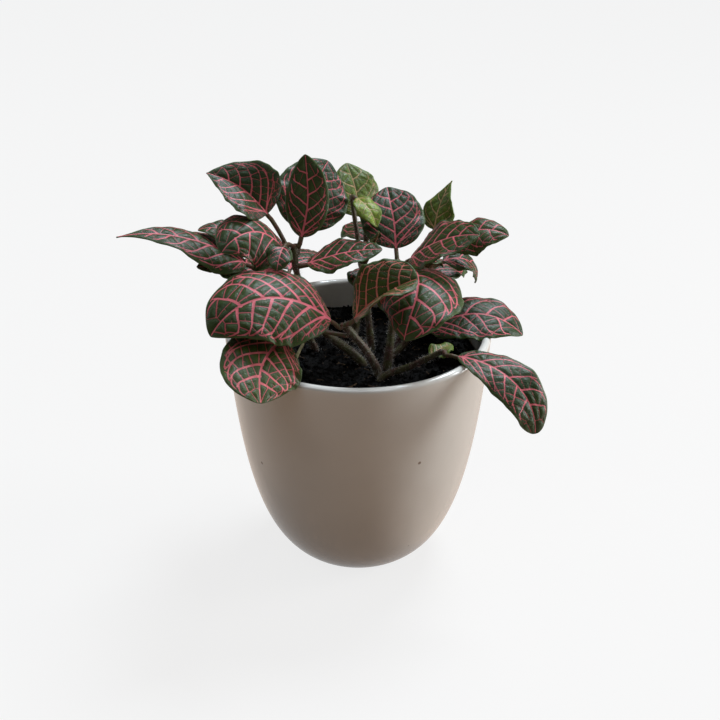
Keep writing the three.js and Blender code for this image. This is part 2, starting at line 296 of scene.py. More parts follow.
def tube(centres, radii, sides, flat=1.0, up=(0, 1, 0.02), ridges=0.0, seed=0):
    """Points of rings round a path, with lengthwise ridges; flat squeezes the rings along `up`."""
    centres = np.asarray(centres)
    tangent = unit(np.gradient(centres, axis=0))
    up = np.broadcast_to(np.asarray(up, dtype=float), centres.shape)
    across = unit(np.cross(up, tangent))
    front = np.cross(tangent, across)
    angle = 2 * np.pi * np.arange(sides) / sides
    bumps = 1 + ridges * np.sin(5 * angle + seed) + ridges * 0.6 * np.sin(8 * angle + 2 * seed)
    size = np.asarray(radii)[:, None] * bumps[None]
    return (
        centres[:, None]
        + across[:, None] * (size * np.cos(angle))[:, :, None]
        + front[:, None] * (size * np.sin(angle) * flat)[:, :, None]
    )


def tube_mesh_arrays(rings, first=0):
    """Faces of a closed tube whose ends are drawn in to a small point."""
    rows, sides = rings.shape[:2]
    faces = ring_faces(rows, sides, first)
    half = sides // 2
    caps = []
    for start, flip in ((first, True), (first + (rows - 1) * sides, False)):
        for k in range(half - 1):
            corner = [start + k, start + k + 1, start + sides - 2 - k, start + (sides - 1 - k) % sides]
            caps.append(corner[::-1] if flip else corner)
    return np.concatenate([faces, np.array(caps)])


# ------ veins

def outline(v, tip=OUTLINE_TIP):
    """Half the blade's width at the share v of its length, as a share of its greatest half width."""
    widest = OUTLINE_BASE / (OUTLINE_BASE + tip)
    peak = widest**OUTLINE_BASE * (1 - widest) ** tip
    v = np.clip(v, 0, 1)
    return v**OUTLINE_BASE * (1 - v) ** tip / peak


class Veins:
    """The vein net of one blade, laid out flat: x runs along the midrib and y across it.

    The side veins of one half are members of a family of curves, numbered 0, 1, 2... from the
    base; the numbers between them (`order`) stand for the bands between the veins. `out` is the
    share of the way from the midrib to the margin. The bands are divided into cells."""

    # The radius of a vein at its start and end, and its rank.
    MIDRIB = (0.68, 0.2, 1.0)
    SIDE = (0.54, 0.2, 0.7)
    ARCH = (0.312, 0.208, 0.5)
    LOBE = (0.338, 0.208, 0.5)
    TWIG = (0.13, 0.06, 0.1)
    RUNG, RUNG_RANK = 0.17, 0.25  # mean radius and rank of the veins between two cells
    RUNG_SPREAD = (0.4, 1.5)
    FIRST, LAST = 0.02, 0.72  # shares of the midrib where the first and the last side veins start
    BELOW = 0.15  # step of the family below the first side vein
    REACH = 0.42  # how far along the blade a side vein from its base runs, for a broad blade
    BROAD = 0.34  # half width over length of that blade
    SIDE_END = (0.78, 0.87)  # the ways out at which a side vein ends, an arch starts and it ends
    ARCH_START = (0.66, 0.76)
    ARCH_END = 0.88
    CELL = 3.5  # length of a cell
    ASKEW = 0.9  # how far a cell's centre lies off the middle of its band
    TWIGGY = 0.4  # share of the cells with a twig
    FAR = 9.0  # the gap of a point that no vein is near
    KEPT = (0.001, 0.99)  # shares of the length within which a vein stays
    BASES = (-0.75, 0.97, 240)  # the starting points that a point's order is looked up in
    MORE_ORDERS = (-6, 3, 600)  # orders looked through, below the first and above the last
    FADE, FADE_WIDTH = 0.45, 1.5  # how fast the veins thin out near the margin

    def __init__(self, length, width, tip, bold, seed):
        self.length, self.half, self.tip = length, width / 2, tip
        self.rng = rng = np.random.default_rng(seed)
        self.scale = (length / 50) ** 0.3
        self.thick = bold * self.scale**1.8
        self.reach = self.REACH * (self.half / length / self.BROAD) ** 0.7
        self.count = round(3.0 + length / 21)
        step = (self.LAST - self.FIRST) / (self.count - 1)
        self.bases, self.seeds, self.lines = {}, {}, []
        for sign in (-1, 1):
            bases = self.FIRST + step * np.arange(self.count)
            bases[1:] += step * (0.2 * sign + rng.uniform(-0.1, 0.1, self.count - 1))
            self.bases[sign] = bases
        wobble = 0.015 * np.sin(np.linspace(0, 8, 40) + rng.uniform(0, 6))
        self.add(self.flat(np.linspace(0, 0.985, 40), wobble), *self.MIDRIB)
        for sign in (-1, 1):
            for order in range(self.count):
                self.side_vein(sign, order)
            for order in range(-1, self.count):
                self.seed_band(sign, order)

    def flat(self, v, q):
        """Flat points at shares of the length and of the half width."""
        v, q = np.asarray(v, dtype=float), np.asarray(q, dtype=float)
        return np.stack([v * self.length, q * self.half * outline(v, self.tip)], axis=-1)

    def share_along(self, base, out):
        """How far along the blade the curve that starts at base has come."""
        bow = 0.75 * out + 0.25 * out**2.6
        return base + self.reach * (1 - np.clip(base, 0, 1)) ** 0.8 * bow

    def base_of(self, sign, order):
        """Where on the midrib the curve of that order starts."""
        bases, order = self.bases[sign], np.asarray(order, dtype=float)
        step = bases[-1] - bases[-2]
        inner = np.interp(order, np.arange(self.count), bases)
        above = np.maximum(order - self.count + 1, 0) * step
        return inner + np.minimum(order, 0) * self.BELOW + above

    def at(self, sign, order, out):
        """Flat points at an order of the family and a share of the way out, kept in the blade."""
        v = self.share_along(self.base_of(sign, order), np.asarray(out, dtype=float))
        keep = (v > self.KEPT[0]) & (v < self.KEPT[1])
        return self.flat(v, sign * out)[keep]

    def add(self, points, start, end, rank):
        if len(points) > 1:
            radii = np.linspace(start, end, len(points)) * self.thick
            self.lines.append((np.asarray(points), radii, rank))

    def side_vein(self, sign, order):
        """A side vein, the arch that joins it to the next one, and at the base the lobe's vein."""
        rng = self.rng
        t = np.linspace(0, 1, 26)
        out = t * rng.uniform(*self.SIDE_END)
        wobble = 0.05 * np.sin(9 * t + rng.uniform(0, 6)) * t
        self.add(self.at(sign, order + wobble, out), *self.SIDE)
        t = np.linspace(0, 1, 14)
        start = rng.uniform(*self.ARCH_START)
        arch = start + (self.ARCH_END - start) * t + 0.06 * np.sin(np.pi * t)
        self.add(self.at(sign, order + t * 1.02, arch), *self.ARCH)
        if order == 0:
            self.add(self.at(sign, -0.9 * t, 0.12 + 0.72 * t), *self.LOBE)

    def seed_band(self, sign, order):
        """Cell centres in the band above a side vein, and twigs that end inside some cells."""
        rng = self.rng
        rows = [order + 0.5]
        if order == -1:
            rows = [-0.5, -1.4, -2.3, -3.2]
        if order == self.count - 1:
            rows = [order + 0.5, order + 1.4]
        seeds = []
        for row in rows:
            path = self.at(sign, row, np.linspace(0, 1, 60))
            if len(path) < 4:
                continue
            steps = np.linalg.norm(np.diff(path, axis=0), axis=1)
            travelled = np.concatenate([[0], np.cumsum(steps)])
            here = self.CELL * self.scale * rng.uniform(0.3, 0.6)
            turn = rng.choice([-1, 1])
            while here < travelled[-1]:
                i = min(int(np.searchsorted(travelled, here)), len(path) - 1)
                away = turn * self.ASKEW * rng.uniform(0.0, 1.0) ** 2 * self.scale
                along = unit(path[i] - path[i - 1]) if i else np.array([0.7, 0.7])
                seeds.append(path[i] + away * np.array([-along[1], along[0]]))
                here += self.CELL * self.scale * rng.uniform(0.75, 1.25)
                turn = -turn
        self.seeds[sign, order] = np.array(seeds)
        for here, after in zip(seeds, seeds[1:]):
            if rng.uniform() < self.TWIGGY:
                middle = (here + after) / 2
                end = middle + (here - middle) * 0.7 + rng.uniform(-0.4, 0.4, 2)
                self.add(np.linspace(middle, end, 3), *self.TWIG)

    def orders(self, v, out, sign):
        """The order of the family at every point of a grid; out is the same down each column."""
        bases = np.linspace(*self.BASES)
        below, above, steps = self.MORE_ORDERS
        order_of = np.linspace(below, self.count + above, steps)
        base_of_order = self.base_of(sign, order_of)
        found = np.empty_like(v)
        for column in range(v.shape[1]):
            share = self.share_along(bases, out[0, column])
            base = np.interp(v[:, column], share, bases)
            found[:, column] = np.interp(base, base_of_order, order_of)
        return found

    def measure_cells(self, v, q, grid, gap, rank):
        """Sets the gap to the border of the cell that each point is in."""
        rng = np.random.default_rng(self.count + len(self.lines))
        for sign in (-1, 1):
            order = np.floor(self.orders(v, np.abs(q), sign)).clip(-1, self.count - 1).ravel()
            half = np.ravel(q) * sign > 0
            for (side, band), seeds in self.seeds.items():
                own = np.nonzero(half & (order == band))[0]
                if side != sign or not len(own) or len(seeds) < 2:
                    continue
                away = ((grid[own][:, None] - seeds[None]) ** 2).sum(-1)
                near = np.argsort(away, axis=1)[:, :2]
                first, second = np.take_along_axis(away, near, axis=1).T
                here, there = near.T
                apart = np.linalg.norm(seeds[here] - seeds[there], axis=1) + 1e-3
                thick = rng.uniform(*self.RUNG_SPREAD, (len(seeds), len(seeds)))
                thick = self.RUNG * self.thick * (thick + thick.T)[here, there] / 2
                gap[own] = (second - first) / (2 * apart) - thick
                rank[own] = self.RUNG_RANK

    def measure_line(self, points, radii, own_rank, grid, gap, rank):
        """Lowers the gap of the points near a vein, and gives them its rank."""
        points = points.astype(np.float32)
        low, high = points.min(axis=0) - 3, points.max(axis=0) + 3
        near = np.nonzero(((grid > low) & (grid < high)).all(axis=1))[0]
        if not len(near):
            return
        p = grid[near][:, None]
        a, b = points[None, :-1], points[None, 1:]
        edge = b - a
        t = np.clip(((p - a) * edge).sum(-1) / np.maximum((edge**2).sum(-1), 1e-6), 0, 1)
        away = np.linalg.norm(p - a - edge * t[..., None], axis=-1)
        away -= radii[None, :-1] + (radii[None, 1:] - radii[None, :-1]) * t
        own, before = away.min(axis=1), rank[near]
        shared = np.maximum(own_rank, np.where(gap[near] < 0.1, before, 0))
        rank[near] = np.where(own < gap[near], shared, before)
        gap[near] = np.minimum(own, gap[near])

    def measure(self, v, q, x, y, margin):
        """For each point: the gap to the nearest vein's edge and that vein's rank."""
        grid = np.stack([np.ravel(x), np.ravel(y)], axis=1).astype(np.float32)
        gap = np.full(len(grid), self.FAR, dtype=np.float32)
        rank = np.zeros(len(grid), dtype=np.float32)
        self.measure_cells(v, q, grid, gap, rank)
        for line in self.lines:
            self.measure_line(*line, grid, gap, rank)
        gap, rank = gap.reshape(x.shape), rank.reshape(x.shape)
        fade = self.FADE * np.clip(self.FADE_WIDTH - margin, 0, self.FADE_WIDTH)
        return gap + fade * (rank < 0.9), rank


# ------ leaves

class Midrib:
    """The path of a leaf from its foot on the stem to its tip, and the frame that the blade hangs on."""

    STEP = 0.25

    def __init__(self, leaf, start):
        self.leaf = leaf
        self.petiole, self.length = leaf.get("petiole", PETIOLE_LENGTH), leaf["length"]
        self.total = self.petiole + self.length
        count = int(self.total / self.STEP)
        self.travelled = np.linspace(0, self.total, count + 1)
        middles = (self.travelled[1:] + self.travelled[:-1]) / 2
        steps = self.direction(middles / self.total) * (self.total / count)
        self.points = np.concatenate([start[None], start + np.cumsum(steps, axis=0)])

    def direction(self, u):
        leaf = self.leaf
        rise = np.radians(leaf["rise"] - leaf.get("droop", 0) * u**BEND_POWER)
        way = np.radians(leaf["heading"] + leaf.get("sweep", 0) * u)
        return np.stack([np.cos(rise) * np.cos(way), np.cos(rise) * np.sin(way), np.sin(rise)], axis=-1)

    def at(self, distance):
        return np.stack([np.interp(distance, self.travelled, self.points[:, k]) for k in range(3)], axis=-1)

    def frame(self, distance):
        """The side and the upper normal of the blade at distances along the midrib."""
        u = distance / self.total
        tangent = self.direction(u)
        way = np.radians(self.leaf["heading"] + self.leaf.get("sweep", 0) * u)
        level = np.stack([-np.sin(way), np.cos(way), np.zeros_like(way)], axis=-1)
        up = np.cross(tangent, level)
        turn = np.radians(self.leaf.get("roll", 0) + self.leaf.get("twist", 0) * u)[:, None]
        return level * np.cos(turn) + up * np.sin(turn), up * np.cos(turn) - level * np.sin(turn)


def softened(grid, passes):
    """A grid of values, each pass averaged with its neighbours."""
    for _ in range(passes):
        wide = np.pad(grid, 1, mode="edge")
        grid = (wide[:-2, 1:-1] + wide[2:, 1:-1] + wide[1:-1, :-2] + wide[1:-1, 2:] + 2 * grid) / 6
    return grid


def blade_grid(leaf, rng):
    """Shares along and across a blade, its outline and half width, and its reach with the notches."""
    length, width = leaf["length"], leaf["width"]
    along = np.linspace(0, 1, int(length / LEAF_CELL))
    v = 0.35 * (0.5 - 0.5 * np.cos(np.pi * along)) + 0.65 * along
    q = np.linspace(-1, 1, 2 * int(width / LEAF_CELL / 2) + 1)
    q = q * (1.06 - 0.06 * q**2)
    share = outline(v, leaf.get("tip", OUTLINE_TIP))
    half = np.maximum(width / 2 * share, TIP_HALF_WIDTH)
    notch = sum(np.sin(v * k + rng.uniform(0, 6, 2)[:, None]) / k**0.7 for k in NOTCHES)
    left, right = (UNEVEN * width / 2 * share**0.5 * notch)[:, :, None]
    v, q = np.meshgrid(v, q, indexing="ij")
    reach = half[:, None] + np.where(q < 0, left, right) * np.abs(q) ** 6
    return v, q, share[:, None], half[:, None], reach


def blade_skins(leaf, rib, phase, v, q, share, half, reach, gap):
    """The upper and the lower skin of a blade: folded, cupped, rippled and swollen between the veins."""
    size = np.abs(q)
    angle = np.radians(leaf.get("fold", 0) * share - leaf.get("cup", 0) * share * size / 2)
    ripple = leaf.get("wave", WAVE) * share * q**2 * np.sin(2 * np.pi * WAVES * v + phase + q)
    for depth, power, number, phases, slant in RIPPLES:
        crest = np.sin(2 * np.pi * number * v + phases * phase + slant * q)
        ripple += depth * leaf["width"] * share * size**power * crest
    swell = softened(1 - np.exp(-((np.clip(gap, 0, None) / SWELL_WIDTH) ** 2)), 3)
    swell *= SWELL * np.clip(share * 2, 0, 1)
    swell *= np.clip((1 - size) * 6, 0, 1)
    swell -= MIDRIB_TROUGH * np.exp(-((q * half) / TROUGH_WIDTH) ** 2) * share**0.5
    height = size * reach * np.sin(angle) + ripple - ROLLED_MARGIN * share * size**6
    thick = BLADE_THICKNESS / 2 * np.sqrt(np.clip(1 - size**10, 0, 1))
    distance = rib.petiole + v[:, 0] * rib.length
    side, normal = rib.frame(distance)
    body = rib.at(distance)[:, None] + side[:, None] * (q * reach * np.cos(angle))[..., None]
    top = body + normal[:, None] * (height + swell + thick)[..., None]
    low = body + normal[:, None] * (height + swell * 0.75 - thick)[..., None]
    return top, low


def petiole_rings(rib, stem_point, seed):
    """The petiole's rings, from inside the stem to under the blade, where it is the thinning midrib."""
    travelled = np.arange(0.0, rib.petiole + rib.length * 0.93, 0.8)
    share = np.clip((travelled - rib.petiole) / rib.length, 0, 1)
    _, up = rib.frame(travelled)
    radius = PETIOLE_RADIUS * (1 - share) ** 0.9 * (1 + 0.25 * np.exp(-travelled / 1.2)) + 0.08
    sunk = np.clip((travelled - rib.petiole + 3) / 5, 0, 1)
    path = rib.at(travelled) - up * (sunk * (radius * 0.9 + 0.35))[:, None]
    path = np.concatenate([stem_point[None], path])
    radius = np.concatenate([radius[:1], radius])
    up = np.concatenate([up[:1], up])
    rings = tube(path, radius, PETIOLE_SIDES, flat=0.9, up=up, ridges=0.04, seed=seed)
    return rings, np.repeat(np.concatenate([[0], share]), PETIOLE_SIDES)


def sheet_faces(grid):
    """The faces of a sheet of points that are numbered by a grid."""
    a, b, c, d = grid[:-1, :-1], grid[1:, :-1], grid[1:, 1:], grid[:-1, 1:]
    return np.stack([a, b, c, d], axis=-1).reshape(-1, 4)


def leaf_mesh(name, leaf, stem_point, start, phase, seed):
    """A blade with its vein net pressed in, and the petiole that runs on under it as the midrib."""
    rng = np.random.default_rng(seed)
    rib = Midrib(leaf, start)
    v, q, share, half, reach = blade_grid(leaf, rng)
    margin = (1 - np.abs(q)) * half
    bold = leaf.get("bold", np.interp(start[2], *BOLD_VEINS))
    veins = Veins(rib.length, leaf["width"], leaf.get("tip", OUTLINE_TIP), bold, seed)
    gap, rank = veins.measure(v, q, v * rib.length, q * half, margin)
    top, low = blade_skins(leaf, rib, phase, v, q, share, half, reach, gap)

    # The two skins share the rim, so the blade is closed.
    upper = np.arange(v.size).reshape(v.shape)
    inner = np.zeros_like(upper, dtype=bool)
    inner[1:-1, 1:-1] = True
    lower = upper.copy()
    lower[inner] = v.size + np.arange(inner.sum())
    top[~inner] = (top[~inner] + low[~inner]) / 2
    rings, ring_share = petiole_rings(rib, stem_point, seed)
    points = np.concatenate([top.reshape(-1, 3), low[inner], rings.reshape(-1, 3)])
    stalk = tube_mesh_arrays(rings, v.size + inner.sum())
    faces = np.concatenate([sheet_faces(upper), sheet_faces(lower)[:, ::-1], stalk])

    def values(*parts):
        """One value for each point of the upper skin, the lower skin and the petiole."""
        counts = (v.size, inner.sum(), ring_share.size)
        return np.concatenate([np.broadcast_to(np.ravel(x), n) for x, n in zip(parts, counts)])

    green = leaf.get("young", leaf.get("olive", 0.25 + 0.3 * rng.uniform()))
    return mesh_of(name, points, faces, {
        "vein_gap": values(gap, gap[inner], -0.5),
        "vein_rank": values(rank, rank[inner], 0.8),
        "margin": values(margin, margin[inner], 5.0),
        "underside": values(0, 1, 1),
        "stalk": values(0, 0, np.clip(1 - ring_share * 4, 0, 1)),
        "olive": values(green, green, green),
    })


# ------ node trees

def node(tree, kind, inputs=None, **settings):
    """Adds a node. Its inputs are keyed by name or number, and hold values or other sockets."""
    made = tree.nodes.new(kind)
    for key, value in settings.items():
        setattr(made, key, value)
    for key, value in (inputs or {}).items():
        if isinstance(value, bpy.types.NodeSocket):
            tree.links.new(value, made.inputs[key])
        else:
            made.inputs[key].default_value = value
    return made


def blend(tree, factor, first, second):
    """A colour between two colours."""
    return node(tree, "ShaderNodeMix", {0: factor, 6: first, 7: second}, data_type="RGBA").outputs[2]


def ease(tree, value, start, end, low=0.0, high=1.0):
    """A smooth step from low at start to high at end."""
    made = node(
        tree, "ShaderNodeMapRange",
        {"Value": value, "From Min": start, "From Max": end, "To Min": low, "To Max": high},
        interpolation_type="SMOOTHSTEP",
    )
    return made.outputs["Result"]


def field(tree, name):
    return node(tree, "ShaderNodeAttribute", attribute_name=name).outputs["Fac"]


def place(tree):
    return node(tree, "ShaderNodeTexCoord").outputs["Object"]


def noise(tree, where, scale, detail, roughness=0.55):
    made = node(
        tree, "ShaderNodeTexNoise",
        {"Vector": where, "Scale": scale, "Detail": detail, "Roughness": roughness},
    )
    return made.outputs["Fac"]


def stretched(tree, where, scale):
    return node(tree, "ShaderNodeMapping", {"Vector": where, "Scale": scale}).outputs["Vector"]


def mottled(tree, pattern, start, end, first, second, most=1.0):
    """The first colour, turning into the second where the pattern goes from start to end."""
    return blend(tree, ease(tree, pattern, start, end, 0.0, most), first, second)


def maths(tree, operation, a, b):
    return node(tree, "ShaderNodeMath", {0: a, 1: b}, operation=operation).outputs[0]


def bump(tree, height, distance, strength):
    made = node(tree, "ShaderNodeBump", {"Height": height, "Distance": distance, "Strength": strength})
    return made.outputs["Normal"]


def material(name, **sockets):
    """A material with one Principled shader, and uniform values set straight on its sockets."""
    made = bpy.data.materials.new(name)
    made.use_nodes = True
    shader = made.node_tree.nodes["Principled BSDF"]
    for key, value in sockets.items():
        shader.inputs[key.replace("_", " ")].default_value = value
    return made, made.node_tree, shader


def connect(tree, shader, **sockets):
    for key, value in sockets.items():
        tree.links.new(value, shader.inputs[key.replace("_", " ")])


def rgb(red, green, blue):
    return (red, green, blue, 1.0)


# ------ finishes

def leaf_finish(name, skin, olive, thin_vein, thick_vein, warm_vein, under, under_vein, edge):
    """Satin leaf skin: a grainy blade, a crisp vein net, a plain green margin and a paler underside."""
    made, tree, shader = material(
        name, Specular_IOR_Level=0.34,
        Sheen_Weight=0.04, Sheen_Roughness=0.4, Sheen_Tint=rgb(0.7, 0.82, 1.0),
    )
    where = place(tree)
    patches = noise(tree, where, 90, 3)
    grain = noise(tree, where, 1500, 2, 0.7)
    pores = node(tree, "ShaderNodeTexVoronoi", {"Vector": where, "Scale": 1700.0}).outputs["Distance"]
    gap = field(tree, "vein_gap")
    rank = field(tree, "vein_rank")
    own_green = field(tree, "olive")
    net = ease(tree, gap, 0.09, -0.06)
    # painted shade: a mask that is strongest right beside the veins, in the creases of the swollen skin
    crease_shade = ease(tree, gap, 0.8, 0.0)

    green = maths(tree, "ADD", own_green, maths(tree, "MULTIPLY", patches, 0.8))
    green = ease(tree, green, 0.35, 1.35)
    blade = blend(tree, green, skin, olive)
    blade = mottled(tree, grain, 0.35, 0.8, blade, edge, 0.3)
    blade = mottled(tree, pores, 0.45, 0.1, blade, rgb(0.006, 0.01, 0.006), 0.45)
    # painted shade: the blade is darkened in the creases beside the veins, so the swollen skin between them
    # looks lit
    blade = blend(tree, maths(tree, "MULTIPLY", crease_shade, 0.4), blade, rgb(0.014, 0.02, 0.01))
    rim = ease(tree, field(tree, "margin"), 1.7, 0.2)
    blade = blend(tree, maths(tree, "MULTIPLY", rim, 0.8), blade, edge)

    vein = mottled(tree, rank, 0.1, 0.75, thin_vein, thick_vein)
    vein = mottled(tree, own_green, 0.6, 1.0, vein, warm_vein)
    vein = mottled(tree, noise(tree, where, 260, 2), 0.35, 0.7, vein, thin_vein, 0.45)
    upper = blend(tree, net, blade, vein)

    pale = blend(tree, patches, under, blend(tree, 0.5, under, olive))
    soft_net = ease(tree, gap, 0.25, -0.15)
    lower = blend(tree, soft_net, pale, under_vein)
    shown = blend(tree, ease(tree, field(tree, "underside"), 0.2, 0.8), upper, lower)

    streaks = noise(tree, stretched(tree, where, (900, 900, 160)), 1.0, 2)
    stalk = mottled(tree, streaks, 0.35, 0.65, rgb(0.075, 0.07, 0.024), rgb(0.11, 0.04, 0.026))
    shown = blend(tree, field(tree, "stalk"), shown, stalk)

    gloss = ease(tree, grain, 0.2, 0.8, 0.33, 0.5)
    relief = maths(tree, "SUBTRACT", grain, maths(tree, "MULTIPLY", pores, 0.6))
    connect(tree, shader, Base_Color=shown, Roughness=gloss, Normal=bump(tree, relief, 0.00025, 0.6))
    return made


def stem_finish():
    """Green-brown stem skin with darker and redder streaks along it."""
    made, tree, shader = material("streaked_stem_skin", Specular_IOR_Level=0.35)
    where = place(tree)
    streaks = noise(tree, stretched(tree, where, (700, 700, 90)), 1.0, 3)
    patches = noise(tree, where, 140, 3)
    colour = mottled(tree, streaks, 0.35, 0.65, rgb(0.05, 0.04, 0.018), rgb(0.085, 0.038, 0.028))
    colour = mottled(tree, patches, 0.4, 0.7, colour, rgb(0.072, 0.078, 0.022), 0.85)
    colour = mottled(tree, noise(tree, where, 900, 2), 0.6, 0.8, colour, rgb(0.17, 0.13, 0.09), 0.5)
    gloss = ease(tree, streaks, 0.3, 0.7, 0.42, 0.62)
    connect(tree, shader, Base_Color=colour, Roughness=gloss, Normal=bump(tree, streaks, 0.0003, 0.6))
    return made


def dry_finish():
    """Bleached dead stem: pale, fibrous and dull."""
    made, tree, shader = material("bleached_dead_stem", Specular_IOR_Level=0.25)
    where = place(tree)
    fibres = noise(tree, stretched(tree, where, (900, 900, 120)), 1.0, 4)
    colour = mottled(tree, fibres, 0.3, 0.7, rgb(0.42, 0.36, 0.2), rgb(0.2, 0.17, 0.08))
    colour = mottled(tree, noise(tree, where, 300, 3), 0.5, 0.7, colour, rgb(0.28, 0.33, 0.14), 0.7)
    connect(tree, shader, Base_Color=colour, Roughness=ease(tree, fibres, 0.2, 0.8, 0.6, 0.85),
            Normal=bump(tree, fibres, 0.0004, 0.7))
    return made


def hair_finish():
    """Fine whitish hairs."""
    made, tree, shader = material("fine_white_hair", Specular_IOR_Level=0.3)
    tint = noise(tree, place(tree), 700, 1)
    colour = mottled(tree, tint, 0.3, 0.7, rgb(0.6, 0.55, 0.5), rgb(0.82, 0.79, 0.76))
    connect(tree, shader, Base_Color=colour, Roughness=ease(tree, tint, 0.3, 0.7, 0.45, 0.6))
    return made


def peat_finish():
    """Damp dark peat with browner fibres and crumbs."""
    made, tree, shader = material("damp_dark_peat", Specular_IOR_Level=0.12)
    where = place(tree)
    clumps = noise(tree, where, 260, 5, 0.65)
    crumbs = noise(tree, where, 1300, 3, 0.7)
    colour = mottled(tree, clumps, 0.35, 0.7, rgb(0.0012, 0.0011, 0.001), rgb(0.006, 0.0045, 0.0035))
    colour = mottled(tree, crumbs, 0.6, 0.78, colour, rgb(0.024, 0.017, 0.012), 0.8)
    connect(tree, shader, Base_Color=colour, Roughness=ease(tree, clumps, 0.3, 0.7, 0.65, 0.95),
            Normal=bump(tree, crumbs, 0.0006, 0.9))
    return made


def fibre_finish():
    """Brown shreds of bark and root in the peat."""
    made, tree, shader = material("brown_root_shreds", Specular_IOR_Level=0.25)
    where = place(tree)
    tint = noise(tree, where, 180, 3)
    colour = mottled(tree, tint, 0.4, 0.65, rgb(0.035, 0.02, 0.012), rgb(0.12, 0.075, 0.04))
    connect(tree, shader, Base_Color=colour, Roughness=ease(tree, tint, 0.3, 0.7, 0.7, 0.9),
            Normal=bump(tree, noise(tree, where, 1500, 2), 0.0003, 0.7))
    return made


def glaze_finish():
    """Off-white glaze: glossy, a little uneven, with a few brown iron specks and a bare clay foot."""
    made, tree, shader = material(
        "off_white_glaze", Specular_IOR_Level=0.62, Coat_Weight=0.7, Coat_Roughness=0.04, Coat_IOR=1.5,
    )
    where = place(tree)
    height = node(tree, "ShaderNodeSeparateXYZ", {0: where}).outputs["Z"]
    clouds = noise(tree, where, 22, 3)
    glaze = mottled(tree, clouds, 0.3, 0.7, rgb(0.78, 0.745, 0.69), rgb(0.73, 0.69, 0.635))
    cells = node(tree, "ShaderNodeTexVoronoi", {"Vector": where, "Scale": 75.0, "Randomness": 1.0})
    dot = ease(tree, cells.outputs["Distance"], 0.075, 0.045)
    rare = node(tree, "ShaderNodeSeparateXYZ", {0: cells.outputs["Color"]}).outputs["X"]
    dot = maths(tree, "MULTIPLY", dot, ease(tree, rare, 0.66, 0.7))
    glaze = blend(tree, maths(tree, "MULTIPLY", dot, 0.8), glaze, rgb(0.16, 0.075, 0.035))
    clay = ease(tree, height, 0.0006, 0.0002)
    grit = noise(tree, where, 1400, 3)
    bare = blend(tree, grit, rgb(0.5, 0.42, 0.33), rgb(0.66, 0.58, 0.48))
    colour = blend(tree, clay, glaze, bare)
    gloss = ease(tree, height, 0.0006, 0.0002, 0.085, 0.68)
    broad = noise(tree, where, 45, 2)
    ripples = maths(tree, "ADD", broad, maths(tree, "MULTIPLY", noise(tree, where, 600, 2), 0.02))
    connect(tree, shader, Base_Color=colour, Roughness=gloss, Normal=bump(tree, ripples, 0.0009, 0.35))
    return made


# ------ scattered pieces by geometry nodes

SCATTER = {"Density": 1000.0, "Smallest": 0.001, "Largest": 0.002, "Seed": 1}


def scatter_tree(name, build_shape, finish):
    """A tree that strews copies of one small shape over a surface, each turned and sized at random.

    The inputs are Density (per square metre), Smallest, Largest and Seed."""
    tree = bpy.data.node_groups.new(name, "GeometryNodeTree")
    face = tree.interface
    face.new_socket("Surface", in_out="INPUT", socket_type="NodeSocketGeometry")
    face.new_socket("Scattered", in_out="OUTPUT", socket_type="NodeSocketGeometry")
    for key, value in SCATTER.items():
        kind = "NodeSocketInt" if isinstance(value, int) else "NodeSocketFloat"
        face.new_socket(key, in_out="INPUT", socket_type=kind).default_value = value
    given = node(tree, "NodeGroupInput").outputs
    strewn = node(
        tree, "GeometryNodeDistributePointsOnFaces",
        {"Mesh": given["Surface"], "Density": given["Density"], "Seed": given["Seed"]},
    )
    size = node(
        tree, "FunctionNodeRandomValue",
        {2: given["Smallest"], 3: given["Largest"], "Seed": given["Seed"]}, data_type="FLOAT",
    )
    shape, turn = build_shape(tree, given, strewn)
    copies = node(
        tree, "GeometryNodeInstanceOnPoints",
        {"Points": strewn.outputs["Points"], "Instance": shape, "Rotation": turn, "Scale": size.outputs[1]},
    )
    real = node(tree, "GeometryNodeRealizeInstances", {0: copies.outputs[0]})
    dressed = node(tree, "GeometryNodeSetMaterial", {0: real.outputs[0], "Material": finish})
    node(tree, "NodeGroupOutput", {0: dressed.outputs[0]})
    return tree


def random_vector(tree, given, low, high):
    """A vector for each copy, drawn between two corners."""
    made = node(
        tree, "FunctionNodeRandomValue", {0: low, 1: high, "Seed": given["Seed"]},
        data_type="FLOAT_VECTOR",
    )
    return made.outputs[0]


def moved(tree, shape, offset):
    return node(tree, "GeometryNodeSetPosition", {"Geometry": shape, "Offset": offset}).outputs[0]


def hair_shape(tree, given, strewn):
    """A three-sided hair, one unit long, leaning a little away from the surface's normal."""
    cone = node(
        tree, "GeometryNodeMeshCone",
        {"Vertices": 3, "Side Segments": 2, "Radius Bottom": 0.02, "Radius Top": 0.006, "Depth": 1.0},
        fill_type="NONE",
    )
    lean = random_vector(tree, given, (-0.5, -0.5, -0.2), (0.5, 0.5, 0.7))
    way = node(tree, "ShaderNodeVectorMath", {0: strewn.outputs["Normal"], 1: lean}, operation="ADD")
    turn = node(tree, "FunctionNodeAlignRotationToVector", {"Vector": way.outputs[0]}, axis="Z")
    return cone.outputs["Mesh"], turn.outputs[0]


def crumb_shape(levels):
    """A rough lump of peat, half sunk in the soil."""
    def build(tree, given, strewn):
        ball = node(tree, "GeometryNodeMeshIcoSphere", {"Radius": 0.5, "Subdivisions": levels})
        wander = node(tree, "ShaderNodeTexNoise", {"Scale": 2.3, "Detail": 1.0})
        centred = node(
            tree, "ShaderNodeVectorMath", {0: wander.outputs["Color"], 1: (0.5, 0.5, 0.5)},
            operation="SUBTRACT",
        )
        rough = moved(tree, ball.outputs["Mesh"], centred.outputs[0])
        squat = node(tree, "GeometryNodeTransform", {"Geometry": rough, "Scale": (1.0, 0.75, 0.6)})
        return squat.outputs[0], random_vector(tree, given, (0, 0, 0), (6.3, 6.3, 6.3))
    return build


